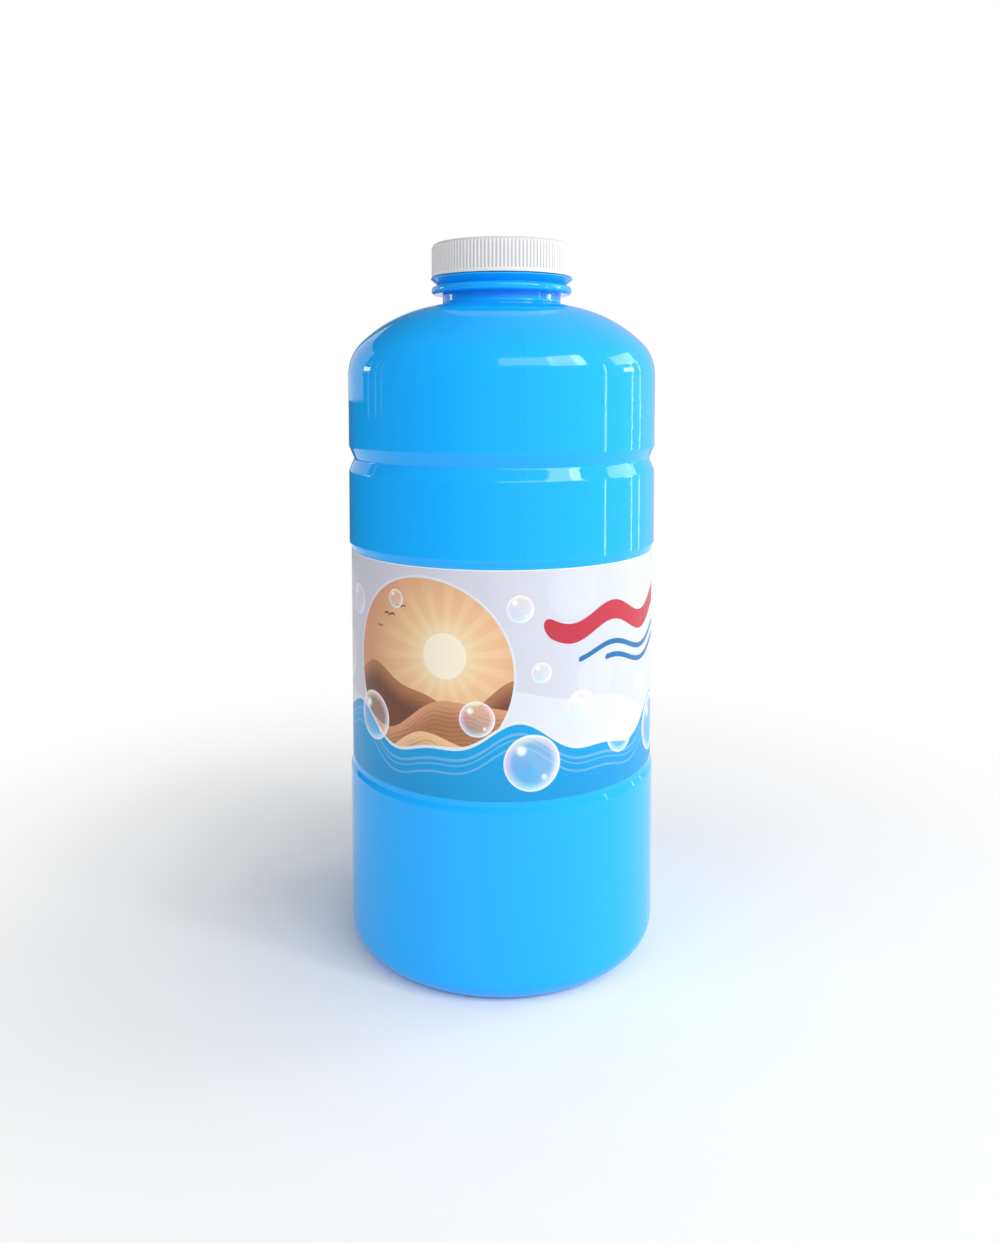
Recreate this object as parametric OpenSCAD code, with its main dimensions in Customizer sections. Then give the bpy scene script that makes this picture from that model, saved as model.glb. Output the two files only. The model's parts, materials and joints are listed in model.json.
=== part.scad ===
// Round two litre bottle for liquid soap, with a ribbed screw cap.
// Millimetres, +Z up. The origin is the middle of the foot, and the label's front faces -Y.
// Every outline is a list of [radius, height] points, turned about the Z axis.

/* [Body] */
// Outside diameter of the body
body_d = 112; // [98:0.5:124]
// Thickness of the blown wall
wall = 0.6; // [0.4:0.05:1.0]
// Height of the plain wall below the label panel, heel included
lower_h = 64.6; // [30:0.1:120]
// Height of the plain band between the label panel and the groove
band_h = 25.2; // [8:0.1:60]
// Height of the plain band between the groove and the shoulder
upper_h = 25.3; // [8:0.1:60]

/* [Foot] */
// Radius of the heel
heel_r = 8.5; // [5:0.1:16]
// Width of the flat ring that the bottle stands on
foot_flat_w = 4; // [1:0.1:8]
// Radius of the bend on the inner side of the standing ring
foot_bend_r = 4; // [1.5:0.1:8]
// Slope of the push-up where it leaves the standing ring, in degrees
push_up_slope = 25; // [10:1:35]
// Diameter of the moulding mark in the middle of the push-up
gate_d = 5; // [3:0.1:8]
// Height of that mark below the push-up
gate_h = 0.6; // [0.2:0.1:1.2]

/* [Label panel] */
// Depth of the panel below the body's surface
panel_depth = 0.85; // [0.4:0.05:1.2]
// Height over which the wall steps in or out
step_run = 2.3; // [2:0.1:6]
// Radius of the bends of each step
step_bend_r = 1.2; // [1.1:0.1:2.5]

/* [Grip groove] */
// Height of the groove from edge to edge
groove_h = 9.5; // [7:0.1:14]
// Depth of the groove
groove_depth = 1.8; // [0.8:0.1:2.6]
// Radius of the groove's two edges
groove_edge_r = 1.5; // [1.2:0.1:3]
// Radius of the groove's root
groove_root_r = 1; // [0.5:0.1:2]

/* [Shoulder] */
// Radius of the shoulder's outer bend
shoulder_r = 16.5; // [10:0.1:24]
// Angle that the outer bend turns through before the flatter crown, in degrees
shoulder_turn = 46; // [35:1:55]
// Radius of the crown between the outer bend and the neck
crown_r = 49.4; // [44:0.1:70]

/* [Neck] */
// Diameter of the part of the neck that carries the thread
finish_d = 45.2; // [38:0.1:52]
// Height of that part, from the upper ring to the lip
finish_h = 9.9; // [8:0.1:16]
// Thickness of its wall
finish_wall = 2; // [1.4:0.1:3]
// Radius of the lip's edges
lip_r = 0.6; // [0.2:0.1:0.7]
// Thickness of the neck's wall below the rings
neck_wall = 1.05; // [0.8:0.05:2]
// Radius of the blend between the crown and the neck
neck_blend_r = 1; // [0.6:0.1:2]
// Height of the neck between that blend and the lower ring
neck_h = 2.6; // [0.5:0.1:8]
// Radius of the blend between the bore and the inside of the crown
bore_blend_r = 2; // [0.5:0.1:4]
// How far the lower ring stands out from the neck
ring_w = 4; // [2.5:0.1:6]
// Height of the lower ring
ring_h = 3; // [2.8:0.1:6]
// Radius of the lower ring's edges
ring_edge_r = 1.2; // [0.4:0.1:1.3]
// How far the waist between the two rings stands out from the threaded part
waist_w = 0.6; // [0.2:0.1:1]
// How far the upper ring stands out from the threaded part
bead_w = 3.4; // [2.5:0.1:5]
// Height of the upper ring, from the waist to its flat top
bead_h = 3; // [1.6:0.05:4]
// Thickness of the upper ring at its rim
bead_rim_h = 0.7; // [0.4:0.1:1.2]
// Rise of the upper ring's sloping underside where it meets the rim, in degrees
bead_slope = 30; // [15:1:45]

/* [Cap] */
// Room between the neck and the cap's skirt, in which both threads lie
thread_room = 1.3; // [1:0.1:2]
// Thickness of the skirt, ribs included
cap_skirt_t = 1.7; // [1.2:0.1:3]
// Thickness of the cap's top
cap_top_t = 1.5; // [0.8:0.1:3]
// Radius of the cap's top edge
cap_edge_r = 2.2; // [1:0.1:3]
// Radius inside the cap, between its skirt and its top
cap_inner_r = 0.5; // [0.2:0.1:0.9]
// Running gap between the cap's lower edge and the upper ring
cap_gap = 0.3; // [0.2:0.1:2]
// Number of ribs round the cap
rib_count = 120; // [60:1:140]
// Depth of the ribs
rib_depth = 0.4; // [0.2:0.05:0.6]
// Width of a rib at its root, as a share of the spacing between ribs
rib_root_share = 0.55; // [0.4:0.01:0.7]
// Width of a rib at its crest, as a share of the spacing between ribs
rib_crest_share = 0.38; // [0.2:0.01:0.5]
// Height of the plain band below the ribs
rib_foot = 1.3; // [0.5:0.1:3]

/* [Liner] */
// Thickness of the sealing disc inside the cap
liner_t = 1; // [0.5:0.1:2]
// Clearance between the disc's edge and the cap's skirt
liner_clearance = 0.5; // [0.3:0.1:1]

/* [Label] */
// Height of the label
label_h = 75.6; // [30:0.1:120]
// Height of the bare strip of panel below the label
label_foot = 1.8; // [0.2:0.1:8]
// Height of the bare strip of panel above the label
label_head = 0.4; // [0.2:0.1:8]
// Thickness of the label
label_t = 0.1; // [0.05:0.01:0.2]
// Width of the glued lap where the label's ends meet at the back
label_lap = 8; // [3:0.5:15]

/* [Soap] */
// Depth from the lip down to the surface of the soap
headspace = 36; // [22:0.5:60]
// Gap drawn between the soap and the wall
soap_gap = 0.1; // [0.05:0.05:0.3]

/* [Hidden] */
$fn = 96;

// Degrees between two points of a bend
bend_step = 5;
// How far the teeth that leave the ribs standing reach past their crests
crest_reach = 0.2;
// How far a cutter reaches past the part of the cap that it cuts
cut_margin = 1;

body_r = body_d / 2;
panel_r = body_r - panel_depth;
finish_r = finish_d / 2;
bore_r = finish_r - finish_wall;
neck_r = bore_r + neck_wall;
ring_r = neck_r + ring_w;
waist_r = finish_r + waist_w;
bead_r = finish_r + bead_w;
cap_bore_r = finish_r + thread_room;
cap_r = cap_bore_r + cap_skirt_t;

// Heights of the body, from the foot up
panel_z = lower_h + step_run;
label_z = panel_z + label_foot;
panel_top_z = label_z + label_h + label_head;
band_z = panel_top_z + step_run;
groove_z = band_z + band_h;
upper_z = groove_z + groove_h;
shoulder_z = upper_z + upper_h;

// The bends of a step are no rounder than the step has room for
step_r = min(step_bend_r, (pow(step_run, 2) + pow(panel_depth, 2)) / (4 * panel_depth));
step_angle = flank_angle(step_run, panel_depth, 2 * step_r);
groove_angle = flank_angle(groove_h / 2, groove_depth, groove_edge_r + groove_root_r);

// Centres of the foot's bends, the shoulder's outer bend and the crown
heel_c = [body_r - heel_r, heel_r];
foot_c = [body_r - heel_r - foot_flat_w, foot_bend_r];
push_up_r = (foot_c[0] - foot_bend_r * sin(push_up_slope)) / sin(push_up_slope);
push_up_c = [0, foot_bend_r - (foot_bend_r + push_up_r) * cos(push_up_slope)];
push_up_z = push_up_c[1] + push_up_r;
shoulder_c = [body_r - shoulder_r, shoulder_z];
crown_c = shoulder_c - (crown_r - shoulder_r) * [cos(shoulder_turn), sin(shoulder_turn)];

// Heights of the neck, each one on top of the last
neck_z = blend_z(neck_r, neck_blend_r, 0);
ring_z = neck_z + neck_h;
waist_z = ring_z + ring_h;
bead_z = waist_z + bead_h;
lip_z = bead_z + finish_h;

// Heights of the cap and its disc, which sit on the lip
cap_z = bead_z + cap_gap;
liner_z = lip_z;
cap_inner_z = liner_z + liner_t;
cap_top_z = cap_inner_z + cap_top_t;
liner_r = cap_bore_r - liner_clearance;

soap_z = lip_z - headspace;

// Points of a round bend about a centre, from one angle to another
function bend(centre, radius, from, to) =
    let (count = max(2, ceil(abs(to - from) / bend_step)))
    [for (i = [0:count])
        let (angle = from + (to - from) * i / count)
        centre + radius * [cos(angle), sin(angle)]];

// Slope, from the vertical, of the flank between two bends whose radii add up to radii,
// where the wall moves by depth over a height of run
function flank_angle(run, depth, radii) =
    asin(radii / norm([run, radii - depth])) - atan2(radii - depth, run);

// Angle on the crown, and height, at which a blend leads over to an upright wall
function blend_angle(wall_r, blend_r, inset) =
    acos((wall_r + blend_r - crown_c[0]) / (crown_r - inset + blend_r));
function blend_z(wall_r, blend_r, inset) =
    crown_c[1] + (crown_r - inset + blend_r) * sin(blend_angle(wall_r, blend_r, inset));

// The wall's outline from the middle of the foot to the foot of the neck. Drawn further in by
// inset, each outer bend loses that much radius and each inner bend gains it.
function foot_outline(inset) = concat(
    bend(push_up_c, push_up_r + inset, 90, 90 - push_up_slope),
    bend(foot_c, foot_bend_r - inset, -90 - push_up_slope, -90),
    bend(heel_c, heel_r - inset, -90, 0));

function panel_outline(inset) = concat(
    bend([body_r - step_r, lower_h], step_r - inset, 0, step_angle),
    bend([panel_r + step_r, panel_z], step_r + inset, 180 + step_angle, 180),
    bend([panel_r + step_r, panel_top_z], step_r + inset, 180, 180 - step_angle),
    bend([body_r - step_r, band_z], step_r - inset, -step_angle, 0));

function groove_outline(inset) =
    let (middle_z = groove_z + groove_h / 2)
    concat(
        bend([body_r - groove_edge_r, groove_z], groove_edge_r - inset, 0, groove_angle),
        bend([body_r - groove_depth + groove_root_r, middle_z], groove_root_r + inset,
            180 + groove_angle, 180 - groove_angle),
        bend([body_r - groove_edge_r, upper_z], groove_edge_r - inset, -groove_angle, 0));

function shoulder_outline(inset, wall_r, blend_r) =
    let (angle = blend_angle(wall_r, blend_r, inset))
    concat(
        bend(shoulder_c, shoulder_r - inset, 0, shoulder_turn),
        bend(crown_c, crown_r - inset, shoulder_turn, angle),
        bend([wall_r + blend_r, blend_z(wall_r, blend_r, inset)], blend_r, 180 + angle, 180));

function body_outline(inset, wall_r, blend_r) = concat(
    foot_outline(inset),
    panel_outline(inset),
    groove_outline(inset),
    shoulder_outline(inset, wall_r, blend_r));

// Outline of the neck from its foot to the top of the lip: lower ring, waist, thin upper ring
// with a sloping underside, and the part that carries the thread
function neck_outline() = concat(
    [[neck_r, ring_z]],
    bend([ring_r - ring_edge_r, ring_z + ring_edge_r], ring_edge_r, -90, 0),
    bend([ring_r - ring_edge_r, waist_z - ring_edge_r], ring_edge_r, 0, 90),
    [[waist_r, waist_z]],
    bend([bead_r - bead_rim_h / 2, bead_z - bead_rim_h / 2], bead_rim_h / 2, bead_slope - 90, 90),
    [[finish_r, bead_z]],
    bend([finish_r - lip_r, lip_z - lip_r], lip_r, 0, 90));

function reversed(points) = [for (i = [len(points) - 1:-1:0]) points[i]];

// The part of an outline that lies below a height, closed along that height and the axis
function filled_below(points, height) =
    let (below = [for (p = points) if (p[1] < height) p],
        last = len(below) - 1,
        share = (height - below[last][1]) / (points[last + 1][1] - below[last][1]))
    concat(below, [below[last] + share * (points[last + 1] - below[last]), [0, height]]);

module bottle() {
    color("deepskyblue") {
        rotate_extrude()
            polygon(concat(
                body_outline(0, neck_r, neck_blend_r),
                neck_outline(),
                bend([bore_r + lip_r, lip_z - lip_r], lip_r, 90, 180),
                reversed(body_outline(wall, bore_r, bore_blend_r))));
        translate([0, 0, push_up_z - gate_h])
            cylinder(d = gate_d, h = gate_h + wall / 2);
    }
}

// A film wrapped round the panel, with a second layer where its ends lap at the back. The second
// layer starts halfway through the first, so that the two are one film.
module label() {
    lap_angle = label_lap / panel_r * 180 / PI;
    color("lavender")
        translate([0, 0, label_z]) {
            rotate_extrude()
                translate([panel_r, 0])
                    square([label_t, label_h]);
            rotate([0, 0, 90 - lap_angle / 2])
                rotate_extrude(angle = lap_angle)
                    translate([panel_r + label_t / 2, 0])
                        square([label_t / 2 + label_t, label_h]);
        }
}

// Half of the cap's outer section, with its rounded top corner
module cap_section() {
    translate([0, cap_z])
        square([cap_r, cap_top_z - cap_edge_r - cap_z]);
    translate([0, cap_z])
        square([cap_r - cap_edge_r, cap_top_z - cap_z]);
    translate([cap_r - cap_edge_r, cap_top_z - cap_edge_r])
        circle(cap_edge_r);
}

// The grooves between the ribs, all in one: a ring whose toothed hole leaves the ribs standing.
// They start above the plain band and run out by themselves on the rounded top edge. The teeth
// reach a little past the cap's radius, so that the ribs' crests keep the cap's own round surface.
module cap_grooves() {
    pitch = 360 / rib_count;
    root_r = cap_r - rib_depth;
    crest_r = cap_r + crest_reach;
    corners = [
        [root_r, -rib_root_share / 2],
        [crest_r, -rib_crest_share / 2],
        [crest_r, rib_crest_share / 2],
        [root_r, rib_root_share / 2]];
    translate([0, 0, cap_z + rib_foot])
        linear_extrude(cap_top_z - cap_z)
            difference() {
                circle(crest_r + cut_margin);
                polygon([for (i = [0:rib_count - 1], corner = corners)
                    let (angle = (i + corner[1]) * pitch)
                    corner[0] * [cos(angle), sin(angle)]]);
            }
}

module cap() {
    color("whitesmoke")
        difference() {
            rotate_extrude()
                cap_section();
            cap_grooves();
            rotate_extrude()
                polygon(concat(
                    [[0, cap_z - cut_margin], [cap_bore_r, cap_z - cut_margin]],
                    bend([cap_bore_r - cap_inner_r, cap_inner_z - cap_inner_r], cap_inner_r, 0, 90),
                    [[0, cap_inner_z]]));
        }
}

module cap_liner() {
    color("white")
        translate([0, 0, liner_z])
            cylinder(r = liner_r, h = liner_t);
}

module liquid_soap() {
    color("paleturquoise")
        rotate_extrude()
            polygon(filled_below(
                body_outline(wall + soap_gap, bore_r - soap_gap, bore_blend_r), soap_z));
}

bottle();
label();
cap();
cap_liner();
liquid_soap();
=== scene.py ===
"""Looks of the liquid soap bottle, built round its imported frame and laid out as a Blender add-on.

Every piece is a surface worked out with numpy. Lengths are metres, +Z is up, the origin is the
middle of the foot, and the front of the label faces -Y. Outlines are rows of (radius, height).
"""
import json
import math
from collections import namedtuple
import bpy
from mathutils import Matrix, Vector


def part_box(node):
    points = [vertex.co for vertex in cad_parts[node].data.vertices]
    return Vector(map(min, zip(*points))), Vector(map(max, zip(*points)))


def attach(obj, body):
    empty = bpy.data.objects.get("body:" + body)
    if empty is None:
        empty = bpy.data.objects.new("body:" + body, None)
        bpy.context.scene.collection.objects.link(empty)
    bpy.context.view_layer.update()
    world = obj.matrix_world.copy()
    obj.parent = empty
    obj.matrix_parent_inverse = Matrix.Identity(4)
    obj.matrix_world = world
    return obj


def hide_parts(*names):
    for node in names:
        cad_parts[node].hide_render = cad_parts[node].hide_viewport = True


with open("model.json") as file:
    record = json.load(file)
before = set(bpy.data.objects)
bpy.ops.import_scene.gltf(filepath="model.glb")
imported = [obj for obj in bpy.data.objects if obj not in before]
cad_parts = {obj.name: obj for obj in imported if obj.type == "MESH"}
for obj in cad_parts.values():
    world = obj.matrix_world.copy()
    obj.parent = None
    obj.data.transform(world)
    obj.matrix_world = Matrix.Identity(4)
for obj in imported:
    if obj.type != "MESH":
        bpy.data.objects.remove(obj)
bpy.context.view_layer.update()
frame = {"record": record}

from types import SimpleNamespace

import bpy
import numpy as np
from mathutils import Vector

bl_info = {
    "name": "Liquid Soap Bottle",
    "version": (1, 0, 0),
    "blender": (4, 5, 0),
    "location": "View3D > Sidebar > Soap Bottle",
    "description": "Builds a moulded soap bottle with its printed label, ribbed cap, disc and soap",
    "category": "Add Mesh",
}

MM = 0.001

# A whole, a half and a quarter turn, and the angle of the front
TURN = 2 * math.pi
HALF = TURN / 2
QUARTER = TURN / 4
FRONT = -QUARTER

# Picture that the camera is set for, in pixels
PICTURE_W = 1000
PICTURE_H = 1243

# How far a bend's straight pieces may lie inside its true arc, outside and inside the bottle
SHOWN_SAG = 0.008 * MM
HIDDEN_SAG = 0.05 * MM

# Distance from a bend to the row that keeps its shading off the straight wall beside it
HOLD_GAP = 0.5 * MM

# Points of an outline that are closer than this are one point
SAME_POINT = 0.002 * MM

# Columns once round each turned piece, and along the label
BOTTLE_COLUMNS = 236
DISC_COLUMNS = 160
SOAP_COLUMNS = 144
LABEL_COLUMNS = 361

# Rows that carry the thread outside the neck and inside the cap, and the disc's dent
NECK_THREAD_ROWS = 66
CAP_THREAD_ROWS = 28
DENT_ROWS = 24

# Angle between two faces, in degrees, from which the film's edge is drawn sharp
SHARP_ANGLE = 40

# Turns over which the thread's ends fade out
THREAD_FADE = 0.05

# Features of the materials' noises for each metre
MOTTLE = 26
RIPPLES = 75
PEEL = 1400
RUBS = 60
CAP_GRAIN = 900
CAP_RUBS = 220
FOAM_CELLS = 2200
SOAP_FOAM = 500
FILM_GRAIN = 3200
FILM_CREASES = 60

# Sizes on the print are millimetres, and its places are across from the front and up from the
# label's foot. These are half the softness of a printed edge and the height of the bare edge
PRINT_EDGE = 0.12
BARE_EDGE = 0.3

# Round field of the picture, as (across, up, radius), and the width of its rim
FIELD = (-27, 41, 31)
FIELD_RIM = 0.8

# Printed sun, as (across, up, radius), the number of its rays, and the distances from its middle
# between which the light sky, the rays and the glow fade out
SUN = (-19, 47, 7.6)
SUN_RAYS = 18
SKY_FADE = (38, 8)
RAY_FADE = (34, 9)
GLOW_FADE = (15, 7)

# Upper edges of the swell and the wave, as waves and a middle height, and the width of the
# wave's pale crest
SWELL = (((3, 7, 0.9), (7, 2.5, 2.2)), 29)
WAVE = (((5, 5, 1.1), (11, 2, 0.4)), 18.5)
CREST_W = 1.1

# Pale lines in the wave, each (distance below its top, half its width)
WAVE_LINES = ((3.2, 0.45), (5, 0.25), (7.6, 0.35))

# Birds, each (across, up, span of a wing)
BIRDS = ((-41, 58, 2.6), (-35.5, 61.5, 2), (-46, 53.5, 1.6))

# Faint round hazes, each (across, up, radius)
HAZES = (
    (24, 68, 9), (33, 38, 7.5), (62, 66, 11), (-70, 62, 8),
    (96, 62, 12), (140, 38, 9), (-120, 66, 11), (-148, 36, 8))

# Soap bubbles, each (across, up, radius)
BUBBLES = (
    (-62, 60, 5.5), (-50, 22, 8.5), (-8, 27, 6), (6, 63, 4.5),
    (10, 12.5, 9.5), (27, 30, 5), (45, 17.5, 7), (58, 31, 3.5),
    (71, 14, 10.5), (-76, 38, 9), (-38, 64, 3.2), (13, 42, 3.4),
    (104, 49, 11), (125, 22, 7), (148, 57, 6), (-112, 54, 8),
    (-133, 27, 10), (-155, 50, 5))

# Tints round a bubble's rim, each (share of the turn, colour)
BUBBLE_TINTS = (
    (0.0, (0.8, 0.62, 0.86, 1)), (0.2, (0.5, 0.82, 0.93, 1)), (0.42, (0.93, 0.93, 0.98, 1)),
    (0.6, (0.93, 0.7, 0.76, 1)), (0.8, (0.86, 0.9, 0.62, 1)), (1.0, (0.8, 0.62, 0.86, 1)))

# Lights in a bubble, each (across, up, outer reach, inner reach) in its radii, and strength
BUBBLE_LIGHTS = ((-0.38, 0.45, 0.26, 0.05, 0.85), (0.42, -0.5, 0.15, 0.03, 0.7))

# Corners of the round floor, and the distances from the axis, in metres, between which it turns
# to the background's white
FLOOR_CORNERS = 96
FLOOR_FADE = (0.08, 0.33)

# Heights that the lamps aim at, in metres: the body, its upright walls and the neck
BODY_AIM = 0.19
WALL_AIM = 0.185
NECK_AIM = 0.236

# A lamp's side is its angle to the right of the camera's side and rise its angle above level,
# both in degrees, as seen from the axis at aim_z. Its sizes are metres, and a level of 1 is white
Lamp = namedtuple(
    "Lamp", "name side rise far width tall level aim_z mirrored", defaults=(BODY_AIM, True))


def length(name, description, millimetres):
    """Length setting, with its default given in millimetres."""
    return bpy.props.FloatProperty(
        name=name, description=description, default=millimetres * MM, precision=5, unit="LENGTH")


def slope(name, description, degrees):
    """Angle setting, with its default given in degrees."""
    return bpy.props.FloatProperty(
        name=name, description=description, default=math.radians(degrees), subtype="ANGLE")


def share(name, description, default):
    """Setting that is a plain number from 0 to 1."""
    return bpy.props.FloatProperty(
        name=name, description=description, default=default, min=0, max=1, subtype="FACTOR")


def brightness(name, description, default):
    """Setting for a light, where 1 is white."""
    return bpy.props.FloatProperty(name=name, description=description, default=default, min=0)


def paint(name, description, red, green, blue):
    """Colour setting, with its default as linear red, green and blue."""
    return bpy.props.FloatVectorProperty(
        name=name, description=description, default=(red, green, blue, 1), size=4, min=0, max=1,
        subtype="COLOR")


class BottleSettings(bpy.types.PropertyGroup):
    """Sizes and finish of the blown bottle."""

    body_d: length("Body", "Outside diameter of the body", 112)
    wall: length("Wall", "Thickness of the blown wall", 0.6)
    lower_h: length("Lower wall", "Height of the plain wall below the label panel", 64.6)
    band_h: length("Band", "Height of the plain band between the panel and the groove", 25.2)
    upper_h: length("Upper band", "Height of the plain band above the groove", 25.3)
    heel_r: length("Heel", "Radius of the heel", 8.5)
    foot_flat_w: length("Standing ring", "Width of the ring that the bottle stands on", 4)
    foot_bend_r: length("Inner foot bend", "Radius on the inner side of the standing ring", 4)
    push_up_slope: slope("Push-up slope", "Slope of the push-up beside the standing ring", 25)
    gate_d: length("Moulding mark", "Diameter of the mark in the middle of the foot", 5)
    gate_h: length("Mark height", "Height of the mark below the push-up", 0.6)
    panel_depth: length("Panel depth", "Depth of the label panel below the body", 0.85)
    step_run: length("Step", "Height over which the wall steps in or out", 2.3)
    step_bend_r: length("Step bend", "Radius of the bends of each step", 1.2)
    label_h: length("Label height", "Height of the label on its panel", 75.6)
    label_foot: length("Strip below", "Bare strip of panel below the label", 1.8)
    label_head: length("Strip above", "Bare strip of panel above the label", 0.4)
    groove_h: length("Groove height", "Height of the grip groove", 9.5)
    groove_depth: length("Groove depth", "Depth of the grip groove", 1.8)
    groove_edge_r: length("Groove edge", "Radius of the groove's edges", 1.5)
    groove_root_r: length("Groove root", "Radius of the groove's root", 1)
    shoulder_r: length("Shoulder", "Radius of the shoulder's outer bend", 16.5)
    shoulder_turn: slope("Shoulder turn", "Angle that the outer bend turns through", 46)
    crown_r: length("Crown", "Radius of the crown between the outer bend and the neck", 49.4)
    finish_d: length("Threaded part", "Diameter of the part of the neck with the thread", 45.2)
    finish_h: length("Threaded height", "Height from the upper ring to the lip", 9.9)
    finish_wall: length("Threaded wall", "Thickness of the wall behind the thread", 2)
    lip_r: length("Lip", "Radius of the lip's edges", 0.6)
    neck_wall: length("Neck wall", "Thickness of the neck's wall below the rings", 1.05)
    neck_blend_r: length("Neck blend", "Radius between the crown and the neck", 1)
    neck_h: length("Neck height", "Height of the neck below the lower ring", 2.6)
    bore_blend_r: length("Bore blend", "Radius between the bore and the crown's inside", 2)
    ring_w: length("Lower ring", "How far the lower ring stands out", 4)
    ring_h: length("Ring height", "Height of the lower ring", 3)
    ring_edge_r: length("Ring edge", "Radius of the lower ring's edges", 1.2)
    waist_w: length("Waist", "How far the waist between the rings stands out", 0.6)
    bead_w: length("Upper ring", "How far the upper ring stands out", 3.4)
    bead_h: length("Upper ring height", "Height from the waist to the upper ring's top", 3)
    bead_rim_h: length("Upper ring rim", "Thickness of the upper ring at its rim", 0.7)
    bead_slope: slope("Upper ring slope", "Rise of the upper ring's underside at its rim", 30)
    corner_r: length("Corners", "Radius in the corners of the neck and its rings", 0.2)
    thread_start: length("Thread start", "Height of the thread's start above the upper ring", 1.9)
    thread_h: length("Thread height", "How far the thread stands out", 1.15)
    thread_foot_w: length("Thread foot", "Width of the thread at its foot", 2.2)
    thread_crest_w: length("Thread crest", "Width of the thread at its crest", 0.9)
    thread_turns: bpy.props.FloatProperty(
        name="Thread turns", description="Turns of the thread from end to end", default=1.4, min=1)
    parting_h: length("Parting line height", "Height of the line left where the mould parts", 0.05)
    parting_w: length("Parting line width", "Width of that line", 0.35)
    parting_turn: slope("Parting line turn", "Turn of that line to the right of the front", 8)
    ripple_h: length("Ripples", "Height of the soft upright ripples in the wall", 0.1)
    plastic: paint("Plastic", "Colour of the plastic", 0.008, 0.41, 0.98)
    deep_plastic: paint("Thick plastic", "Colour where the wall is thicker", 0.006, 0.39, 0.96)
    gloss: share("Roughness", "Roughness of the moulded skin", 0.06)


class LabelSettings(bpy.types.PropertyGroup):
    """Sizes and print of the wrap-round label."""

    film_t: length("Film", "Thickness of the label film", 0.1)
    lap: length("Lap", "Width of the glued lap at the back", 8)
    lap_rise: length("Lap rise", "Width over which the film climbs onto its other end", 3)
    field: paint("Field", "Pale colour behind the print", 0.58, 0.585, 0.66)
    # Painted light: the field turns to this colour on the side that faces the light at the right
    painted_lit_field: paint("Light field", "Colour of the field at the right", 0.62, 0.67, 0.77)
    wave: paint("Wave", "Colour of the wave along the foot", 0.0, 0.33, 0.7)
    deep_wave: paint("Deep wave", "Colour of the wave at the label's foot", 0.0, 0.29, 0.64)
    crest: paint("Crest", "Colour of the pale swell behind the wave", 0.7, 0.74, 0.79)
    sky: paint("Sky", "Colour round the printed sun", 0.62, 0.3, 0.17)
    sun: paint("Sunlit sky", "Colour of the sky near the printed sun", 0.8, 0.52, 0.28)
    sun_core: paint("Sun", "Colour of the printed sun", 0.86, 0.8, 0.62)
    sand: paint("Sand", "Colour of the nearer dune", 0.4, 0.17, 0.075)
    shade: paint("Dune shade", "Colour of the farther dune", 0.16, 0.055, 0.03)
    stripe: paint("Stripe", "Colour of the thick wavy stripe", 0.49, 0.03, 0.055)
    thin_line: paint("Thin lines", "Colour of the thin wavy lines", 0.01, 0.15, 0.38)
    glow: paint("Glow", "Colour of the light round the printed sun", 0.84, 0.72, 0.48)
    bird: paint("Birds", "Colour of the printed birds", 0.09, 0.04, 0.035)
    bubble_line: paint("Bubble line", "Colour of the line round a bubble", 0.9, 0.9, 0.96)
    bubble_light: paint("Bubble light", "Colour of the lights in a bubble", 0.95, 0.96, 1)
    bare_edge: paint("Edge", "Colour of the unprinted upper edge", 0.86, 0.87, 0.9)
    speck: paint("Specks", "Colour of the finest specks in the print", 0.45, 0.47, 0.55)


class CapSettings(bpy.types.PropertyGroup):
    """Sizes and finish of the screw cap."""

    top_t: length("Top", "Thickness of the cap's top", 1.5)
    edge_r: length("Top edge", "Radius of the cap's top edge", 2.2)
    bore_d: length("Bore", "Diameter inside the skirt", 47.8)
    inner_r: length("Inner corner", "Radius between the skirt and the top, inside", 0.5)
    rim_r: length("Rim", "Radius of the skirt's lower edges", 0.25)
    rib_count: bpy.props.IntProperty(
        name="Ribs", description="Number of ribs round the cap", default=120, min=3)
    rib_depth: length("Rib depth", "Depth of the ribs", 0.4)
    rib_root_share: share("Rib root", "Width of a rib's root, as a share of the spacing", 0.55)
    rib_crest_share: share("Rib crest", "Width of its crest, as a share of the spacing", 0.38)
    rib_foot: length("Plain band", "Height of the plain band below the ribs", 1.3)
    rib_start: length("Rib start", "Height over which a groove reaches its depth", 0.15)
    thread_h: length("Thread height", "How far the thread stands in from the skirt", 1)
    thread_clear: length("Thread ends", "Distance of the thread from the rim and the top", 1.2)
    plastic: paint("Plastic", "Colour of the cap", 0.78, 0.77, 0.765)
    # Painted shade: this darker colour is laid into the grooves between the ribs, where shade falls
    groove: paint("Grooves", "Colour between the ribs", 0.64, 0.63, 0.625)
    gloss: share("Roughness", "Roughness of the cap", 0.36)


class DiscSettings(bpy.types.PropertyGroup):
    """Sizes and finish of the sealing disc."""

    edge_r: length("Edge", "Radius of the disc's edges", 0.15)
    dent: length("Dent", "Depth of the ring that the lip presses into the disc", 0.06)
    foam: paint("Foam", "Colour of the disc", 0.82, 0.82, 0.8)
    cells: paint("Cells", "Colour inside the foam's cells", 0.72, 0.72, 0.7)


class SoapSettings(bpy.types.PropertyGroup):
    """Level and colour of the soap."""

    gap: length("Gap", "Gap drawn between the soap and the wall", 0.1)
    rise: length("Rise", "Height that the soap's surface climbs at the wall", 0.6)
    rise_w: length("Rise width", "Width over which it climbs", 2)
    liquid: paint("Liquid", "Colour of the soap", 0.04, 0.4, 0.86)
    foam: paint("Foam", "Colour of the fine bubbles on the soap", 0.9, 0.95, 1)


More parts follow.
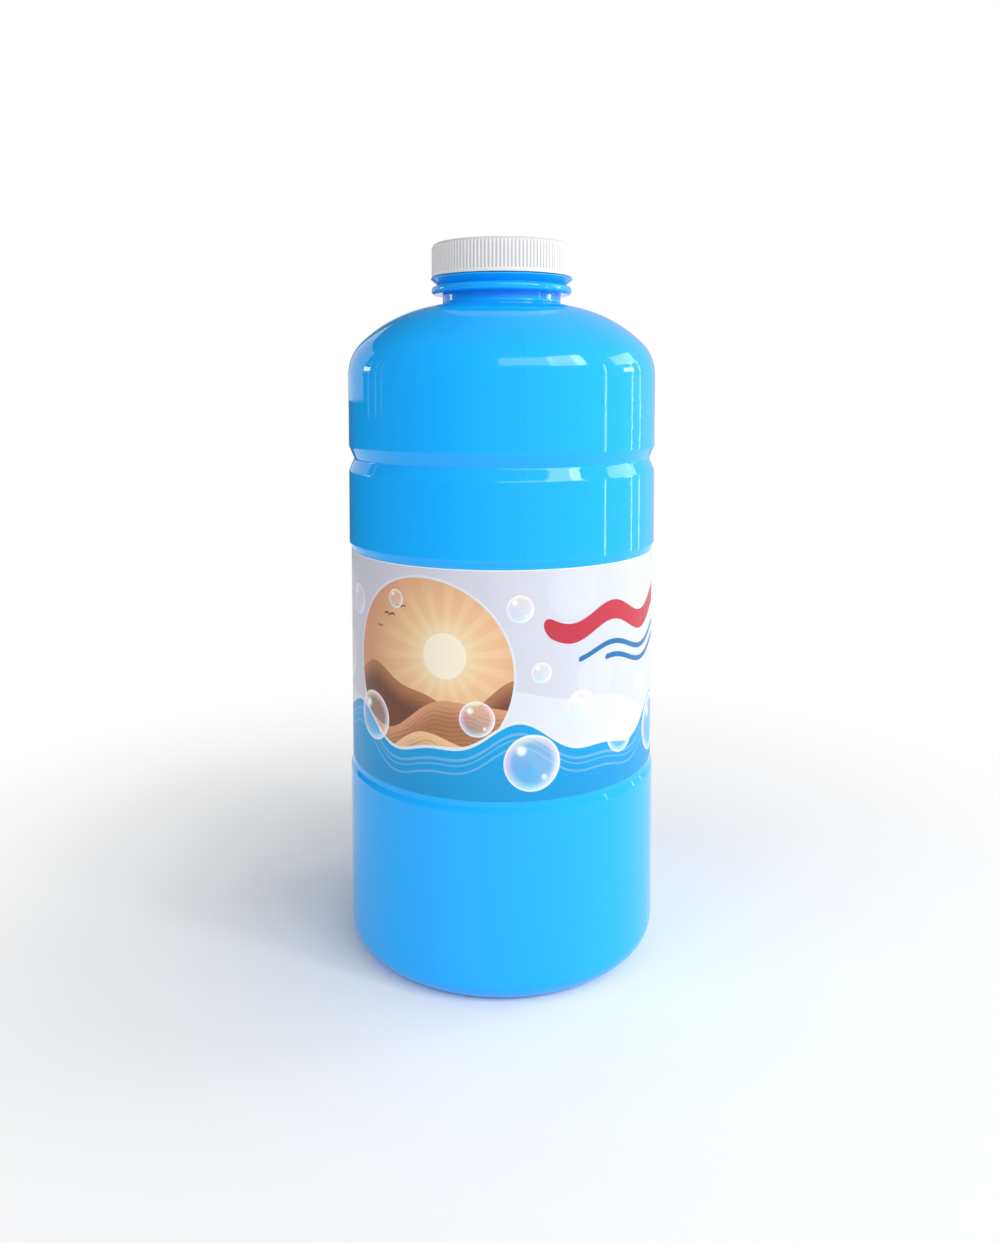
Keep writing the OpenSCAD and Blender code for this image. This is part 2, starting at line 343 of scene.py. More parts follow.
class StageSettings(bpy.types.PropertyGroup):
    """Camera, floor and light."""

    camera_far: length("Distance", "Distance of the camera in front of the bottle's axis", 381.17)
    camera_h: length("Height", "Height of the camera", 203.9)
    camera_dip: slope("Dip", "Angle that the camera looks down", 3.49)
    focal_px: bpy.props.FloatProperty(
        name="Focal length", description="Focal length in pixels of the picture", default=1031.75)
    centre_x: bpy.props.FloatProperty(
        name="Centre X", description="Pixel that the view is centred on, from the left",
        default=501.63)
    centre_y: bpy.props.FloatProperty(
        name="Centre Y", description="Pixel that the view is centred on, from the top",
        default=446.17)
    floor_d: length("Floor", "Diameter of the round floor", 1700)
    dark_side: brightness("Dark side", "Brightness of the room to the left", 0.12)
    bright_side: brightness("Bright side", "Brightness of the room to the right", 0.76)
    back_shade: share("Back shade", "How much darker the room is behind the bottle's left", 0.75)
    key_light: brightness("Key lamp", "Brightness of the lamp at the right of the camera", 6.3)
    fill_light: brightness("Fill lamp", "Brightness of the lamp at the left of the camera", 1.8)
    floor_colour: paint("Floor colour", "Colour of the floor", 0.92, 0.92, 0.92)


def bend(centre, radius, start, end, sag=SHOWN_SAG):
    """Arc: centre + radius * (cos a, sin a), with a from start to end in equal steps.

    There are as many steps as keep each chord within sag of the arc. Angles are in radians.
    """
    step = 2 * math.acos(max(0.5, 1 - sag / radius))
    count = max(2, math.ceil(abs(end - start) / step))
    angle = np.linspace(start, end, count + 1)
    return np.column_stack((centre[0] + radius * np.cos(angle), centre[1] + radius * np.sin(angle)))


def joined(*parts):
    """The outlines one after the other, without points that repeat the one before."""
    outline = np.vstack(parts)
    return outline[np.concatenate(([True], np.diff(lengths_along(outline)) > SAME_POINT))]


def lengths_along(outline):
    """Length of the outline from its start to each of its points."""
    return np.concatenate(([0], np.cumsum(np.hypot(*np.diff(outline, axis=0).T))))


def with_rows(outline, extra):
    """The outline with more points, at the given lengths along it."""
    along = lengths_along(outline)
    place = np.unique(np.concatenate((along, extra)))
    return np.column_stack([np.interp(place, along, column) for column in outline.T])


def with_held_bends(outline):
    """The outline with a point just inside each end of every long straight piece."""
    along = lengths_along(outline)
    is_long = np.diff(along) > 3 * HOLD_GAP
    return with_rows(outline, np.concatenate((
        along[:-1][is_long] + HOLD_GAP, along[1:][is_long] - HOLD_GAP)))


def smooth_step(value, low, high):
    """0 below low, 1 above high and t * t * (3 - 2 t) between, with t the share of the way."""
    t = np.clip((value - low) / (high - low), 0, 1)
    return t * t * (3 - 2 * t)


def turned_faces(rows, columns):
    """Faces of a turned solid: a pole, rows of columns corners each, and a second pole.

    Four-sided faces join each row to the next, and triangles join the end rows to the poles.
    """
    here = np.arange(columns)
    beside = np.roll(here, -1)
    first_row = 1 + np.arange(rows - 1)[:, None] * columns
    quads = np.stack((
        first_row + here, first_row + beside, first_row + columns + beside,
        first_row + columns + here), axis=-1).reshape(-1, 4)
    last_row = 1 + (rows - 1) * columns
    last_pole = 1 + rows * columns
    start = np.column_stack((np.zeros(columns, int), 1 + beside, 1 + here))
    end = np.column_stack((last_row + here, last_row + beside, np.full(columns, last_pole)))
    return quads.tolist() + start.tolist() + end.tolist()


def turned_piece(name, outline, angle, added=0.0):
    """Closed solid of the outline turned about the Z axis.

    A point is ((radius + added) cos a, (radius + added) sin a, height). The outline starts and
    ends on the axis, and added has one value for each row and angle between those ends.
    """
    ring = outline[1:-1]
    radius = ring[:, :1] + added + 0 * angle
    height = ring[:, 1:] + 0 * angle
    points = np.stack((radius * np.cos(angle), radius * np.sin(angle), height), axis=-1)
    poles = np.array([[0, 0, outline[0, 1]], [0, 0, outline[-1, 1]]])
    corners = np.vstack((poles[:1], points.reshape(-1, 3), poles[1:]))
    return finished_piece(name, corners, turned_faces(len(ring), len(angle)))


def finished_piece(name, corners, faces):
    """Smooth object at the origin, from corners in metres and faces."""
    mesh = bpy.data.meshes.new(name)
    mesh.from_pydata(corners.tolist(), [], faces)
    mesh.validate()
    mesh.shade_smooth()
    piece = bpy.data.objects.new(name, mesh)
    bpy.context.scene.collection.objects.link(piece)
    return piece


def fitted(piece, node, body, material):
    """Gives a piece its material and puts it in the place of its solid."""
    piece.data.materials.append(material)
    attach(piece, body)
    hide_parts(node)


def flank_angle(run, depth, radii):
    """Slope of the flank between two bends whose radii add up to radii.

    The wall moves by depth over a height of run: asin(radii / d) - atan(b / run), with
    b = radii - depth and d the distance between the two centres.
    """
    across = radii - depth
    return math.asin(radii / math.hypot(run, across)) - math.atan2(across, run)


def bottle_marks(shape):
    """Radii, heights, angles and centres that the bottle's outlines are drawn from."""
    m = SimpleNamespace()
    m.body_r = shape.body_d / 2
    m.panel_r = m.body_r - shape.panel_depth
    m.finish_r = shape.finish_d / 2
    m.bore_r = m.finish_r - shape.finish_wall
    m.neck_r = m.bore_r + shape.neck_wall
    m.ring_r = m.neck_r + shape.ring_w
    m.waist_r = m.finish_r + shape.waist_w
    m.bead_r = m.finish_r + shape.bead_w
    m.panel_z = shape.lower_h + shape.step_run
    m.label_z = m.panel_z + shape.label_foot
    m.panel_top_z = m.label_z + shape.label_h + shape.label_head
    m.band_z = m.panel_top_z + shape.step_run
    m.groove_z = m.band_z + shape.band_h
    m.upper_z = m.groove_z + shape.groove_h
    m.shoulder_z = m.upper_z + shape.upper_h
    m.step_angle = flank_angle(shape.step_run, shape.panel_depth, 2 * shape.step_bend_r)
    m.groove_angle = flank_angle(
        shape.groove_h / 2, shape.groove_depth, shape.groove_edge_r + shape.groove_root_r)
    m.heel = (m.body_r - shape.heel_r, shape.heel_r)
    m.foot = (m.body_r - shape.heel_r - shape.foot_flat_w, shape.foot_bend_r)
    sine = math.sin(shape.push_up_slope)
    m.push_up_r = (m.foot[0] - shape.foot_bend_r * sine) / sine
    m.push_up = (
        0, shape.foot_bend_r - (shape.foot_bend_r + m.push_up_r) * math.cos(shape.push_up_slope))
    m.push_up_z = m.push_up[1] + m.push_up_r
    m.shoulder = (m.body_r - shape.shoulder_r, m.shoulder_z)
    inward = shape.crown_r - shape.shoulder_r
    m.crown = (
        m.shoulder[0] - inward * math.cos(shape.shoulder_turn),
        m.shoulder[1] - inward * math.sin(shape.shoulder_turn))
    m.neck_z = blend_place(shape, m, m.neck_r, shape.neck_blend_r, 0)[1]
    m.ring_z = m.neck_z + shape.neck_h
    m.waist_z = m.ring_z + shape.ring_h
    m.bead_z = m.waist_z + shape.bead_h
    m.lip_z = m.bead_z + shape.finish_h
    return m


def blend_place(shape, m, wall_r, blend_r, inset):
    """Angle on the crown, and height, at which a blend leads over to an upright wall."""
    reach = shape.crown_r - inset + blend_r
    angle = math.acos((wall_r + blend_r - m.crown[0]) / reach)
    return angle, m.crown[1] + reach * math.sin(angle)


def wall_outline(shape, m, inset, wall_r, blend_r, sag):
    """The wall from the push-up to the foot of the neck, drawn further in by inset."""
    turn = shape.shoulder_turn
    angle, height = blend_place(shape, m, wall_r, blend_r, inset)
    middle_z = m.groove_z + shape.groove_h / 2
    step_out = shape.step_bend_r - inset
    step_in = shape.step_bend_r + inset
    step_edge = m.body_r - shape.step_bend_r
    step_root = m.panel_r + shape.step_bend_r
    groove_out = shape.groove_edge_r - inset
    groove_edge = m.body_r - shape.groove_edge_r
    groove_root = m.body_r - shape.groove_depth + shape.groove_root_r
    bends = [
        (m.push_up, m.push_up_r + inset, QUARTER, QUARTER - shape.push_up_slope),
        (m.foot, shape.foot_bend_r - inset, -QUARTER - shape.push_up_slope, -QUARTER),
        (m.heel, shape.heel_r - inset, -QUARTER, 0),
        ((step_edge, shape.lower_h), step_out, 0, m.step_angle),
        ((step_root, m.panel_z), step_in, HALF + m.step_angle, HALF),
        ((step_root, m.panel_top_z), step_in, HALF, HALF - m.step_angle),
        ((step_edge, m.band_z), step_out, -m.step_angle, 0),
        ((groove_edge, m.groove_z), groove_out, 0, m.groove_angle),
        ((groove_root, middle_z), shape.groove_root_r + inset,
            HALF + m.groove_angle, HALF - m.groove_angle),
        ((groove_edge, m.upper_z), groove_out, -m.groove_angle, 0),
        (m.shoulder, shape.shoulder_r - inset, 0, turn),
        (m.crown, shape.crown_r - inset, turn, angle),
        ((wall_r + blend_r, height), blend_r, HALF + angle, HALF)]
    return joined(*[bend(*one, sag) for one in bends])


def neck_outline(shape, m):
    """The neck from below its lower ring, over the rings and the lip, to the bore."""
    corner = shape.corner_r
    ring_middle = m.ring_r - shape.ring_edge_r
    rim = shape.bead_rim_h / 2
    return joined(
        bend((m.neck_r + corner, m.ring_z - corner), corner, HALF, QUARTER),
        bend((ring_middle, m.ring_z + shape.ring_edge_r), shape.ring_edge_r, -QUARTER, 0),
        bend((ring_middle, m.waist_z - shape.ring_edge_r), shape.ring_edge_r, 0, QUARTER),
        bend((m.waist_r + corner, m.waist_z + corner), corner, -QUARTER, -HALF),
        bend((m.bead_r - rim, m.bead_z - rim), rim, shape.bead_slope - QUARTER, QUARTER),
        bend((m.finish_r + corner, m.bead_z + corner), corner, -QUARTER, -HALF),
        bend((m.finish_r - shape.lip_r, m.lip_z - shape.lip_r), shape.lip_r, 0, QUARTER),
        bend((m.bore_r + shape.lip_r, m.lip_z - shape.lip_r), shape.lip_r, QUARTER, HALF))


def thread(shape, height, angle, start_z, pitch):
    """Share of a screw thread's height at each height and angle, from 0 to 1.

    The thread climbs by pitch for each turn counter-clockwise seen from above. Its section is 1
    over the crest and falls smoothly to 0 at the foot, and its ends fade out along it.
    """
    turned = (angle - FRONT) / TURN
    climbed = (height - start_z) / pitch - turned
    strand = np.round(climbed)
    off_centre = np.abs(climbed - strand) * pitch
    along = strand + turned
    turns = shape.thread_turns
    ends = smooth_step(along, 0, THREAD_FADE) * smooth_step(-along, -turns, THREAD_FADE - turns)
    return ends * smooth_step(-off_centre, -shape.thread_foot_w / 2, -shape.thread_crest_w / 2)


def around(count, extra=()):
    """Angles once round from the front, in even steps, with the extra ones among them."""
    even = FRONT + np.arange(count) * TURN / count
    more = FRONT + np.mod(np.asarray(extra) - FRONT, TURN)
    return np.unique(np.round(np.concatenate((even, more)), 7))


def make_bottle(shape, pitch):
    """One shell: the wall's outside and inside, the neck, the thread and the parting line."""
    m = bottle_marks(shape)
    outside = wall_outline(shape, m, 0, m.neck_r, shape.neck_blend_r, SHOWN_SAG)
    inside = wall_outline(shape, m, shape.wall, m.bore_r, shape.bore_blend_r, HIDDEN_SAG)
    gate_r = shape.gate_d / 2
    gate_z = m.push_up_z - shape.gate_h
    gate = np.vstack((
        [0, gate_z],
        bend((gate_r - shape.corner_r, gate_z + shape.corner_r), shape.corner_r, -QUARTER, 0)))
    outside = outside[outside[:, 0] > gate_r]
    shown = with_held_bends(joined(gate, outside, neck_outline(shape, m)))
    on_finish = (shown[:, 1] > m.bead_z) & (shown[:, 1] < m.lip_z - shape.lip_r)
    extra_z = np.linspace(m.bead_z + shape.corner_r, m.lip_z - shape.lip_r, NECK_THREAD_ROWS)
    along = lengths_along(shown)
    first = np.flatnonzero(on_finish)[0]
    shown = with_rows(shown, along[first] + extra_z - shown[first, 1])
    outline = np.vstack((shown, inside[::-1]))

    beside_line = np.array([-2, -1, -0.5, 0, 0.5, 1, 2]) * shape.parting_w / m.body_r
    line = FRONT + shape.parting_turn
    angle = around(BOTTLE_COLUMNS, np.concatenate((line + beside_line, line + HALF + beside_line)))
    radius = outline[1:-1, :1]
    height = outline[1:-1, 1:]
    row = np.arange(1, len(outline) - 1)[:, None]
    is_shown = row < len(shown)
    is_threaded = is_shown & (height > m.bead_z + shape.corner_r / 2)
    is_threaded = is_threaded & (height < m.lip_z - shape.lip_r / 2)
    added = is_threaded * shape.thread_h * thread(
        shape, height, angle, m.bead_z + shape.thread_start, pitch)
    is_parted = is_shown & (height > shape.heel_r / 2)
    from_line = np.abs(np.mod(angle - line + QUARTER, HALF) - QUARTER) * radius
    added = added + is_parted * shape.parting_h * np.exp(-(from_line / shape.parting_w * 2) ** 2)
    return turned_piece("bottle_shell", outline, angle, added)


def make_label(shape, film):
    """A film that follows the panel and climbs onto its own end at the lap.

    Along the film, its inner radius is that of the panel, plus a film's thickness past the lap's
    start. Its UV map runs once along the film and once up it.
    """
    m = bottle_marks(shape)
    half_lap = film.lap / 2 / m.panel_r
    columns = LABEL_COLUMNS
    turned = np.linspace(-HALF - half_lap, HALF + half_lap, columns)
    lap_start = HALF - half_lap
    rise = film.lap_rise / m.panel_r
    spare = 0.02 * MM
    spare_turn = 0.01
    lift = (film.film_t + spare) * smooth_step(
        turned, lap_start - rise - spare_turn, lap_start - spare_turn)
    inner_r = m.panel_r + lift
    low = m.label_z
    high = m.label_z + shape.label_h
    section_r = np.stack((inner_r + film.film_t, inner_r + film.film_t, inner_r, inner_r))
    section_z = np.array([low, high, high, low])[:, None] + 0 * turned
    angle = FRONT + turned
    corners = np.stack((section_r * np.cos(angle), section_r * np.sin(angle), section_z), axis=-1)
    here = np.arange(columns - 1)
    side = np.arange(4)[:, None]
    next_side = np.roll(np.arange(4), -1)[:, None]
    sides = np.stack((
        side * columns + here, side * columns + here + 1,
        next_side * columns + here + 1, next_side * columns + here), axis=-1).reshape(-1, 4)
    start_cap = (np.arange(4) * columns).tolist()
    end_cap = (np.arange(4)[::-1] * columns + columns - 1).tolist()
    faces = sides.tolist() + [start_cap, end_cap]
    label = finished_piece("label_film", corners.reshape(-1, 3), faces)
    label.data.set_sharp_from_angle(angle=math.radians(SHARP_ANGLE))
    corner_of_loop = np.zeros(len(label.data.loops), int)
    label.data.loops.foreach_get("vertex_index", corner_of_loop)
    across = (corner_of_loop % columns) / (columns - 1)
    up = np.isin(corner_of_loop // columns, (1, 2)).astype(float)
    uv_map = label.data.uv_layers.new(name="print")
    uv_map.data.foreach_set("uv", np.column_stack((across, up)).ravel())
    return label


def make_cap(shape, cap, pitch):
    """Closed cap: ribbed outside, rounded top edge, plain band, rim and threaded bore.

    Outside, a point's radius is the smaller of the cap's outline and the rib's own surface, which
    is the root radius plus the depth times the rib's section. So the grooves run out by
    themselves on the rounded edge.
    """
    low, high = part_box("cap")
    cap_r = high[0]
    cap_z = low[2]
    top_z = high[2]
    inner_z = top_z - cap.top_t
    bore_r = cap.bore_d / 2
    thread_low = cap_z + cap.thread_clear
    thread_high = inner_z - cap.thread_clear
    thread_rows = np.linspace(thread_low, thread_high, CAP_THREAD_ROWS)[::-1]
    bore = np.vstack((
        [0, inner_z],
        [bore_r / 2, inner_z],
        bend((bore_r - cap.inner_r, inner_z - cap.inner_r), cap.inner_r, QUARTER, 0),
        np.column_stack((np.full(len(thread_rows), bore_r), thread_rows)),
        bend((bore_r + cap.rim_r, cap_z + cap.rim_r), cap.rim_r, HALF, HALF + QUARTER)))
    rib_z = cap_z + cap.rib_foot
    skirt = np.vstack((
        bend((cap_r - cap.rim_r, cap_z + cap.rim_r), cap.rim_r, -QUARTER, 0),
        [cap_r, rib_z - cap.rib_start],
        [cap_r, rib_z],
        [cap_r, rib_z + cap.rib_start],
        [cap_r, rib_z + 2 * cap.rib_start],
        [cap_r, (rib_z + top_z) / 2],
        bend((cap_r - cap.edge_r, top_z - cap.edge_r), cap.edge_r, 0, QUARTER, SHOWN_SAG / 4),
        [cap_r * 0.85, top_z],
        [cap_r * 0.4, top_z],
        [0, top_z]))
    outline = np.vstack((bore, skirt))

    root = cap.rib_root_share / 2
    crest = cap.rib_crest_share / 2
    in_spacing = np.array([-0.5, -0.38, -root, -crest, -crest / 2, crest / 2, crest, root, 0.38])
    spacing = TURN / cap.rib_count
    angle = ((np.arange(cap.rib_count)[:, None] + in_spacing) * spacing).ravel()
    from_rib = np.abs(np.tile(in_spacing, cap.rib_count))
    rib = smooth_step(-from_rib, -root - 0.03, -crest + 0.03)

    radius = outline[1:-1, :1]
    height = outline[1:-1, 1:]
    row = np.arange(1, len(outline) - 1)[:, None]
    is_outside = (row >= len(bore)) & (height > rib_z)
    depth = cap.rib_depth * smooth_step(height, rib_z, rib_z + cap.rib_start)
    ribbed = np.minimum(radius, cap_r - depth * (1 - rib))
    added = np.where(is_outside, ribbed - radius, 0)
    m = bottle_marks(shape)
    in_bore = (row < len(bore)) & (height >= thread_low) & (height <= thread_high)
    in_bore = in_bore & (radius > bore_r - cap.inner_r / 2)
    start_z = m.bead_z + shape.thread_start + pitch / 2
    start_z = start_z - pitch * math.floor((start_z - thread_low) / pitch)
    added = added - in_bore * cap.thread_h * thread(shape, height, angle, start_z, pitch)
    return turned_piece("screw_cap", outline, angle, added)


def make_disc(shape, disc):
    """Flat disc with rounded edges and, underneath, the shallow ring pressed in by the lip."""
    low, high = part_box("cap_liner")
    disc_r = high[0]
    m = bottle_marks(shape)
    dent_r = np.linspace(m.bore_r - MM / 2, m.finish_r + MM / 4, DENT_ROWS)
    middle_r = (m.bore_r + m.finish_r) / 2
    half_w = (m.finish_r - m.bore_r) / 2
    dent = disc.dent * smooth_step(-np.abs(dent_r - middle_r), -half_w, -half_w / 2)
    outline = np.vstack((
        [0, low[2]],
        np.column_stack((dent_r, low[2] + dent)),
        bend((disc_r - disc.edge_r, low[2] + disc.edge_r), disc.edge_r, -QUARTER, 0),
        bend((disc_r - disc.edge_r, high[2] - disc.edge_r), disc.edge_r, 0, QUARTER),
        [0, high[2]]))
    return turned_piece("sealing_disc", outline, around(DISC_COLUMNS))


def make_soap(shape, soap):
    """Soap that fills the shell up to its level, with a surface that climbs at the wall.

    The climb falls off as the square of the share of the way from the wall.
    """
    m = bottle_marks(shape)
    soap_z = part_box("liquid_soap")[1][2]
    body = wall_outline(
        shape, m, shape.wall + soap.gap, m.bore_r - soap.gap, shape.bore_blend_r, HIDDEN_SAG)
    top = np.argmax(body[:, 1] > soap_z)
    share_up = (soap_z - body[top - 1, 1]) / (body[top, 1] - body[top - 1, 1])
    edge_r = body[top - 1, 0] + share_up * (body[top, 0] - body[top - 1, 0])
    from_edge = np.linspace(0, 1, 12)
    surface = np.column_stack((
        edge_r - from_edge * soap.rise_w,
        soap_z - soap.rise + soap.rise * (1 - from_edge) ** 2))
    outline = np.vstack((body[:top], surface, [0, soap_z - soap.rise]))
    return turned_piece("soap", outline, around(SOAP_COLUMNS))


class NodeTree:
    """Short way to add shader nodes and join them."""

    def __init__(self, tree):
        self.tree = tree
        tree.nodes.clear()

    def put(self, socket, value):
        """Joins a socket to value, or writes value on it."""
        if isinstance(value, bpy.types.NodeSocket):
            self.tree.links.new(value, socket)
        else:
            socket.default_value = value

    def add(self, kind, inputs=None, **settings):
        """New node with its settings and inputs."""
        node = self.tree.nodes.new("ShaderNode" + kind)
        for name, value in settings.items():
            setattr(node, name, value)
        for name, value in (inputs or {}).items():
            self.put(node.inputs[name], value)
        return node

    def calc(self, operation, *values):
        """Result of a Math node."""
        node = self.add("Math", operation=operation)
        for socket, value in zip(node.inputs, values):
            self.put(socket, value)
        return node.outputs[0]

    def times(self, first, second):
        """first * second."""
        return self.calc("MULTIPLY", first, second)

    def minus(self, first, second):
        """first - second."""
        return self.calc("SUBTRACT", first, second)

    def scaled(self, value, factor, added):
        """value * factor + added."""
        return self.calc("MULTIPLY_ADD", value, factor, added)

    def largest(self, first, *others):
        """The largest of the numbers."""
        for other in others:
            first = self.calc("MAXIMUM", first, other)
        return first

    def reach(self, across, up):
        """Square root of across * across + up * up."""
        return self.calc("SQRT", self.scaled(across, across, self.times(up, up)))

    def step(self, value, low, high):
        """0 at low, 1 at high, smooth between. low may be the larger one."""
        return self.add("MapRange", {
            "Value": value, "From Min": low, "From Max": high},
            interpolation_type="SMOOTHSTEP").outputs["Result"]

    def within(self, value, limit, soft):
        """1 below limit and 0 above it, smooth over soft on each side."""
        return self.step(value, limit + soft, limit - soft)

    def mix(self, amount, below, above, cover=1.0):
        """Colour below with colour above laid over it, to the share of amount * cover."""
        node = self.add("Mix", data_type="RGBA")
        self.put(node.inputs[0], amount if cover == 1.0 else self.times(amount, cover))
        self.put(node.inputs[6], below)
        self.put(node.inputs[7], above)
        return node.outputs[2]

    def noise(self, place, scale, detail):
        """Noise from 0 to 1, with scale as features for each unit of place."""
        return self.add("TexNoise", {
            "Vector": place, "Scale": scale, "Detail": detail}).outputs["Fac"]

    def object_place(self, tall=1):
        """Place in the object in metres. Noise on it is 1 / tall times as high as it is wide."""
        place = self.add("TexCoord").outputs["Object"]
        return self.add("Mapping", {"Vector": place, "Scale": (1, 1, tall)}).outputs["Vector"]

    def bump(self, height, distance, normal=None):
        """Normal for a height from 0 to 1 that stands distance high."""
        node = self.add("Bump", {"Height": height, "Distance": distance})
        if normal:
            self.put(node.inputs["Normal"], normal)
        return node.outputs["Normal"]

    def rays(self, *kinds):
        """1 for these kinds of ray, named as on the Light Path node, and 0 for the others."""
        path = self.add("LightPath")
        return self.largest(*[path.outputs[kind] for kind in kinds])

    def shaded(self, **inputs):
        """Ends a material with a Principled shader. An input's name has _ in place of spaces."""
        shader = self.add(
            "BsdfPrincipled", {name.replace("_", " "): value for name, value in inputs.items()})
        self.add("OutputMaterial", {"Surface": shader.outputs["BSDF"]})


def new_material(name):
    """Material with an empty node tree, and the tree."""
    material = bpy.data.materials.new(name)
    material.use_nodes = True
    return material, NodeTree(material.node_tree)


def bottle_plastic(shape):
    """Glossy blown plastic: a little deeper where the wall is thick, softly rippled upright."""
    material, nodes = new_material("blown_plastic")
    plain = nodes.object_place()
    height = nodes.add("SeparateXYZ", {"Vector": plain}).outputs["Z"]
    m = bottle_marks(shape)
    on_neck = nodes.step(height, m.neck_z - 4 * MM, m.neck_z + MM)
    mottle = nodes.step(nodes.noise(plain, MOTTLE, 3), 0.35, 0.75)
    depth = nodes.largest(nodes.times(mottle, 0.25), on_neck)
    ripple = nodes.bump(nodes.noise(nodes.object_place(0.16), RIPPLES, 1), shape.ripple_h)
    rub = nodes.step(nodes.noise(plain, RUBS, 4), 0.3, 0.8)
    nodes.shaded(
        Base_Color=nodes.mix(depth, shape.plastic, shape.deep_plastic),
        Roughness=nodes.scaled(rub, 0.05, shape.gloss - 0.02), IOR=1.4,
        Normal=nodes.bump(nodes.noise(plain, PEEL, 2), 0.002 * MM, ripple))
    return material


def cap_plastic(cap):
    """Satin moulded plastic, with painted shade that darkens it between the ribs."""
    material, nodes = new_material("moulded_plastic")
    place = nodes.object_place()
    parts = nodes.add("SeparateXYZ", {"Vector": place})
    radius = nodes.reach(parts.outputs["X"], parts.outputs["Y"])
    cap_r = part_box("cap")[1][0]
    # Painted shade: a mask of the grooves between the ribs, which get the darker groove colour
    groove_shade = nodes.times(
        nodes.step(radius, cap_r - 0.1 * MM, cap_r - cap.rib_depth),
        nodes.step(radius, cap_r - 1.2 * MM, cap_r - 0.6 * MM))
    grain = nodes.noise(place, CAP_GRAIN, 3)
    # The fine grain of the plastic, plus the painted shade in the grooves
    tint = nodes.scaled(grain, 0.12, nodes.times(groove_shade, 0.9))
    rub = nodes.noise(place, CAP_RUBS, 2)
    nodes.shaded(
        Base_Color=nodes.mix(tint, cap.plastic, cap.groove),
        Roughness=nodes.scaled(rub, 0.1, cap.gloss - 0.05), IOR=1.5,
        Normal=nodes.bump(grain, 0.004 * MM))
    return material


def disc_foam(disc):
    """Soft white foam with fine closed cells."""
    material, nodes = new_material("disc_foam")
    cells = nodes.add("TexVoronoi", {
        "Vector": nodes.object_place(), "Scale": FOAM_CELLS}).outputs["Distance"]
    nodes.shaded(
        Base_Color=nodes.mix(nodes.step(cells, 0.2, 0.6), disc.foam, disc.cells),
        Roughness=0.6, Normal=nodes.bump(cells, 0.03 * MM))
    return material


def soap_liquid(soap):
    """Clear tinted liquid with a few fine bubbles standing on it."""
    material, nodes = new_material("soap_liquid")
    foam = nodes.step(nodes.noise(nodes.object_place(), SOAP_FOAM, 3), 0.6, 0.75)
    nodes.shaded(
        Base_Color=nodes.mix(foam, soap.liquid, soap.foam, 0.5),
        Roughness=0.03, IOR=1.36, Transmission_Weight=0.2)
    return material


def bubble_group(film):
    """Node group that prints one soap bubble over a colour.

    With d the distance from the middle in radii, the rim grows from d = 0.62 to 1 and takes its
    tint from the angle round the bubble. Two round lights lie opposite each other inside it.
    """
    tree = bpy.data.node_groups.new("printed_bubble", "ShaderNodeTree")
    for name in ("Across", "Up", "Middle Across", "Middle Up", "Radius"):
        tree.interface.new_socket(name, in_out="INPUT", socket_type="NodeSocketFloat")
    tree.interface.new_socket("Below", in_out="INPUT", socket_type="NodeSocketColor")
    tree.interface.new_socket("Colour", in_out="OUTPUT", socket_type="NodeSocketColor")
    nodes = NodeTree(tree)
    given = tree.nodes.new("NodeGroupInput").outputs
    across, up = [
        nodes.calc("DIVIDE", nodes.minus(given[name], given["Middle " + name]), given["Radius"])
        for name in ("Across", "Up")]
    from_middle = nodes.reach(across, up)
    inside = nodes.step(from_middle, 1.0, 0.97)
    rim = nodes.times(nodes.step(from_middle, 0.62, 1.0), inside)
    tint = nodes.add("ValToRGB", {
        "Fac": nodes.scaled(nodes.calc("ARCTAN2", up, across), 1 / TURN, 0.5)})
    stops = tint.color_ramp.elements
    for place, colour in BUBBLE_TINTS[1:-1]:
        stops.new(place).color = colour
    stops[0].color = BUBBLE_TINTS[0][1]
    stops[len(stops) - 1].color = BUBBLE_TINTS[-1][1]
    veil = nodes.scaled(rim, 0.62, nodes.times(inside, 0.2))
    colour = nodes.mix(veil, given["Below"], tint.outputs["Color"])
    line = nodes.times(nodes.step(from_middle, 0.9, 0.97), inside)
    colour = nodes.mix(line, colour, film.bubble_line, 0.6)
    lights = [
        nodes.times(nodes.step(nodes.reach(
            nodes.minus(across, light_across), nodes.minus(up, light_up)), outer, inner), strength)
        for light_across, light_up, outer, inner, strength in BUBBLE_LIGHTS]
    colour = nodes.mix(nodes.largest(*lights), colour, film.bubble_light)
    result = tree.nodes.new("NodeGroupOutput")
    nodes.put(result.inputs["Colour"], colour)
    return tree


class PrintTree(NodeTree):
    """Node tree of the label's print, with the place across and up on it in millimetres."""

    def __init__(self, tree, shape, film):
        super().__init__(tree)
        self.around_mm = TURN * bottle_marks(shape).panel_r / MM
        self.tall_mm = shape.label_h / MM
        film_mm = self.around_mm + film.lap / MM
        place = self.add("SeparateXYZ", {
            "Vector": self.add("UVMap", uv_map="print").outputs["UV"]})
        self.across = self.scaled(place.outputs["X"], film_mm, -film_mm / 2)
        self.up = self.times(place.outputs["Y"], self.tall_mm)

    def wavy(self, waves, middle):
        """Height of a wavy line: middle plus sines, each a whole number of times round.

        Each wave is (times round, height, shift in radians).
        """
        height = middle
        for times, rise, shift in waves:
            turned = self.scaled(self.across, TURN * times / self.around_mm, shift)
            height = self.scaled(self.calc("SINE", turned), rise, height)
        return height

    def below(self, line):
        """1 below a line and 0 above it."""
        return self.step(self.minus(line, self.up), -PRINT_EDGE, PRINT_EDGE)

    def off(self, across, up):
        """How far the place lies to the right of a point and above it."""
        return self.minus(self.across, across), self.minus(self.up, up)

    def circle(self, across, up, radius, soft=PRINT_EDGE):
        """1 in a circle round a point and 0 outside it."""
        return self.within(self.reach(*self.off(across, up)), radius, soft)


